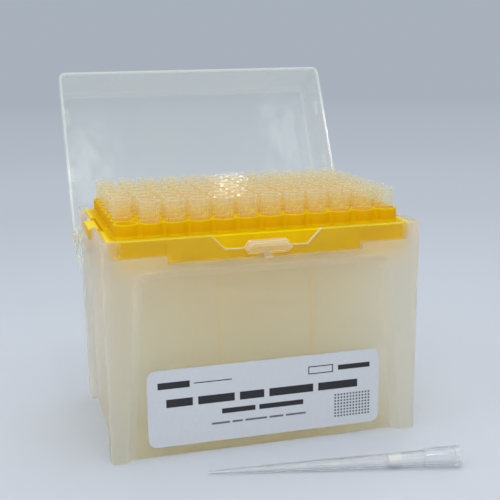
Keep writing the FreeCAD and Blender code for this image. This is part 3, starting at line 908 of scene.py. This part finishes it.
# %% [markdown]
# One clear tip hardly shows.  Eight rows of them make a pale block, because
# every wall adds a little haze, so the haze of one wall is what has to be
# right.  It is thickest where a wall turns away, which draws each tip's
# outline, then at the lip and at the step under the band, where it is a
# painted highlight, with a thin even share on the ribbed skirt.  Fine
# ripples in the sheen break the low lamp behind into separate sparkles.

# %% Tip plastic
BAND_WHITE = srgb(248, 248, 238)
# The lip and step shares are painted highlight lines.
BAND_HAZE, BODY_HAZE, LIP_HIGHLIGHT_HAZE, STEP_HIGHLIGHT_HAZE, OUTLINE_HAZE = 0.07, 0.03, 0.22, 0.15, 0.9


def tip_haze(tree, depth, skirt_haze):
    # Painted highlight lines at the lip and at the step under the band.
    lip = (1 - depth.ramp(0.2, 0.5)) * LIP_HIGHLIGHT_HAZE
    step = (1 - abs(depth - HEAD_BAND).ramp(0.1, 0.35)) * STEP_HIGHLIGHT_HAZE
    below = depth.ramp(HEAD_BAND - 0.1, HEAD_BAND + 0.2)
    above_seat = 1 - depth.ramp(SEAT_DEPTH - 0.3, SEAT_DEPTH + 0.3)
    even = BAND_HAZE - below * (BAND_HAZE - BODY_HAZE) + below * above_seat * skirt_haze
    return tree.facing() ** 4.0 * OUTLINE_HAZE + even + lip + step


def tip_head(tree, depth, skirt_colour, skirt_haze, see_through):
    colour = tree.mix(depth.ramp(2.2, 3), BAND_WHITE, skirt_colour)
    ripple = tree.noise(3, detail=2)
    sheen = tree.plastic(Base_Color=colour, Roughness=0.08, IOR=1.9,
                         Normal=tree.bump(ripple, 0.25))
    pale = tree.blend(0.4, sheen, tree.glow(skirt_colour))
    return tree.blend(tip_haze(tree, depth, skirt_haze), see_through, pale)


print("haze follows the depth below the mouth, 0 to", TIP_LENGTH, "mm")

# %% [markdown]
# The standing tips pass on slightly yellow light, as so much yellow lies
# round them, and that yellow light is painted into their skirts and into
# what shines through them.  Their bodies under the deck get a share of plain
# white instead of haze: seen through the milky wall they merge into one even
# glow.  The loose tip lies alone on the bench, so its plastic is partly real
# glass that bends the light and gathers it into bright lines.

# %% Standing and loose tips
# The standing tips' clear share and skirt carry painted yellow light from the rack.
COLOURLESS, CLEAR_PAINTED_RACK_LIGHT = (1, 1, 1, 1), (1, 0.992, 0.96, 1)
SKIRT_PAINTED_RACK_LIGHT, COOL_SKIRT = srgb(252, 244, 188), srgb(246, 247, 250)
BODY_WHITE = srgb(255, 255, 250)


def standing_tip_finish():
    tree = ShaderTree("clear_tip")
    depth = tree.attribute("depth")
    # Painted yellow light from the rack in the skirt and in what passes through.
    head = tip_head(tree, depth, SKIRT_PAINTED_RACK_LIGHT, 0.08, tree.clear(CLEAR_PAINTED_RACK_LIGHT))
    front = tree.plastic(Base_Color=BODY_WHITE, Roughness=0.4)
    body = tree.blend(0.5, front, tree.glow(BODY_WHITE))
    return tree.done(tree.blend(depth.ramp(13, 21) * 0.15, head, body))


def loose_tip_finish():
    tree = ShaderTree("clear_loose_tip")
    glass = tree.plastic(Base_Color=COLOURLESS, Roughness=0.03, IOR=1.49,
                         Transmission_Weight=1.0)
    see_through = tree.blend(0.6, tree.clear(COLOURLESS), glass)
    return tree.done(tip_head(tree, tree.attribute("depth"), COOL_SKIRT, 0.03, see_through))


mouth_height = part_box("tips_row_a")[1].z / MM
tip_plastic = standing_tip_finish()
standing_tip = mesh_of(tip_shape(SHORT_BORE), "standing_tip")
for row, letter in enumerate(ROWS):
    print(settle("tips_" + letter, row_of(standing_tip, row, int(row == 0), mouth_height), "box",
                 tip_plastic, ["tips_row_" + letter], angle=25))

# %% [markdown]
# ## The filters
#
# A white plug of sintered plastic sits in every tip, a little way down, and
# keeps the sample out of the pipette.  It is turned like the tip and takes
# the bore's taper.  The plastic is a mass of fused grains, so its finish is
# matt, with noise a third of a millimetre wide for both colour and relief.

# %% Filters
PLUG_SIDES = 20
FILTER_TOP = -21.5
PLUG = [(0.0, 0.0), (1.99, 0.0), (1.98, -0.9), (1.88, -4.5), (0.0, -4.5)]


def plug_shape():
    shape = turned_shape(PLUG, PLUG_SIDES)
    bmesh.ops.translate(shape, verts=shape.verts, vec=mm(0, 0, FILTER_TOP))
    return shape


def filter_finish():
    tree = ShaderTree("white_filter")
    pores = tree.noise(0.35, detail=4)
    white = tree.mix(pores, srgb(236, 236, 234), srgb(252, 252, 250))
    return tree.done(tree.plastic(Base_Color=white, Roughness=0.9,
                                  Normal=tree.bump(pores, 0.1)))


white_filter = filter_finish()
standing_plug = mesh_of(plug_shape(), "standing_plug")
for row, letter in enumerate(ROWS):
    print(settle("plugs_" + letter, row_of(standing_plug, row, int(row == 0), mouth_height),
                 "box", white_filter, ["filters_row_" + letter]))

# %% [markdown]
# ## The loose tip
#
# One tip has been taken from the front left well and laid in front of the
# box.  A cone on a flat bench doesn't lie level: it rests on its band and on
# its point, so its axis leans by a small angle.  The mesh is laid down with
# one matrix, read from right to left: lift the point to the origin, tip it
# over, turn it on the bench, move it to its spot.  The object itself stays at
# the origin.

# %% Lay the loose tip down
POINT_SPOT = (-27.8, -57.1)
HEADING = -12.8


def lay_down(shape):
    slope = math.atan((HEAD_RADIUS - POINT_RADIUS) / (TIP_LENGTH - HEAD_BAND))
    point_up = Matrix.Translation(mm(0, 0, TIP_LENGTH))
    tilt = Matrix.Rotation(math.pi / 2 - slope, 4, "Y")
    heading = Matrix.Rotation(math.radians(HEADING), 4, "Z")
    spot = Matrix.Translation(mm(*POINT_SPOT, POINT_RADIUS * math.cos(slope)))
    bmesh.ops.transform(shape, matrix=spot @ heading @ tilt @ point_up, verts=shape.verts)
    return shape


print(settle("loose_tip_shell", lay_down(tip_shape(LONG_BORE)), "box", loose_tip_finish(),
             ["loose_tip"], angle=25))
print(settle("loose_plug", lay_down(plug_shape()), "box", white_filter,
             ["loose_tip_filter"]))

# %% [markdown]
# ## The label
#
# A film label is stuck in the front panel.  It names no one here: the print
# is plain bars where lines of words would be, an outlined box, and a plan of
# the wells as twelve dots by eight.  An image would be the usual way to print
# a label, but bars are rectangles, and a rectangle is two subtractions and a
# minimum, so the whole print is worked out in the shader and stays sharp at
# any distance.  `u` runs right and `v` up from the label's lower left corner.

# %% Bars and dots
DOT_PITCH = 1.25
DOT_INK = 0.85


def bar(u, v, left, right, low, high):
    """1 inside a printed bar, with a soft edge a tenth of a millimetre wide."""
    across = (right - left) / 2 - abs(u - (left + right) / 2)
    upright = (high - low) / 2 - abs(v - (low + high) / 2)
    return (across & upright).ramp(-0.05, 0.05)


def well_dots(u, v):
    """A little plan of the wells: twelve dots by eight."""
    column = (u / DOT_PITCH).math("FRACT") - 0.5
    row = (v / DOT_PITCH).math("FRACT") - 0.5
    dot = 1 - ((column * column + row * row) ** 0.5).ramp(0.26, 0.4)
    plan = bar(u, v, 0, COLUMNS * DOT_PITCH, 0, len(ROWS) * DOT_PITCH)
    return dot * plan * DOT_INK


print("dots in the plan", COLUMNS * len(ROWS))

# %% [markdown]
# The print is laid out like a page: a sign and a thin rule at the top left, a
# small box and a number bar at the top right, a heavy heading, a lighter line
# under it, and fine print below.  Each line of print gives its height, how
# dark it is, and where its bars start and end.

# %% Layout of the print
PRINT = [
    (22.6, 25.2, 1, [(4, 16)]),
    (23.7, 24.1, 1, [(17.5, 32)]),
    (22.9, 24.9, 1, [(74, 87)]),
    (15.3, 18.5, 1, [(7, 17), (19, 33), (35, 44.5), (46.5, 64), (66, 82)]),
    (10.6, 12.6, 1, [(28, 41), (42.5, 60)]),
    (6.6, 7.4, 0.8, [(24, 31), (32, 36), (37, 45.5), (46.5, 52), (53, 61)]),
]
SMALL_BOX, OUTLINE = (62, 72, 22.3, 25.5), 0.4
DOTS_AT = (72.4, 3.4)


def small_box(u, v):
    left, right, low, high = SMALL_BOX
    hole = bar(u, v, left + OUTLINE, right - OUTLINE, low + OUTLINE, high - OUTLINE)
    return bar(u, v, left, right, low, high) - hole


def label_ink(u, v):
    ink = small_box(u, v) | well_dots(u - DOTS_AT[0], v - DOTS_AT[1])
    for low, high, darkness, bars in PRINT:
        for left, right in bars:
            ink = ink | bar(u, v, left, right, low, high) * darkness
    return ink


print("bars", sum(len(line[-1]) for line in PRINT), "and one small box")

# %% [markdown]
# The label's own solid is already the right shape, a thin sheet with round
# corners, so it stays and only changes its material.  A flat white would look
# cut out: coated film is never quite even, so fine noise varies its colour,
# gloss and relief.

# %% Label film
FILM_GREY, FILM_WHITE, INK = srgb(206, 211, 217), srgb(214, 219, 225), srgb(34, 34, 38)


def label_finish():
    tree = ShaderTree("printed_label")
    x, _, z = tree.place()
    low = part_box("label")[0] / MM
    mottle = tree.noise(1.4, detail=4)
    film = tree.mix(mottle, FILM_GREY, FILM_WHITE)
    colour = tree.mix(label_ink(x - low.x, z - low.z), film, INK)
    return tree.done(tree.plastic(Base_Color=colour, Roughness=mottle * 0.1 + 0.4,
                                  Normal=tree.bump(mottle, 0.01)))


def dress(name, finish):
    slots = frame["nodes"][name].data.materials
    slots.clear()
    slots.append(finish)
    return f"{name} dressed in {finish.name}"


print(dress("label", label_finish()))

# %% [markdown]
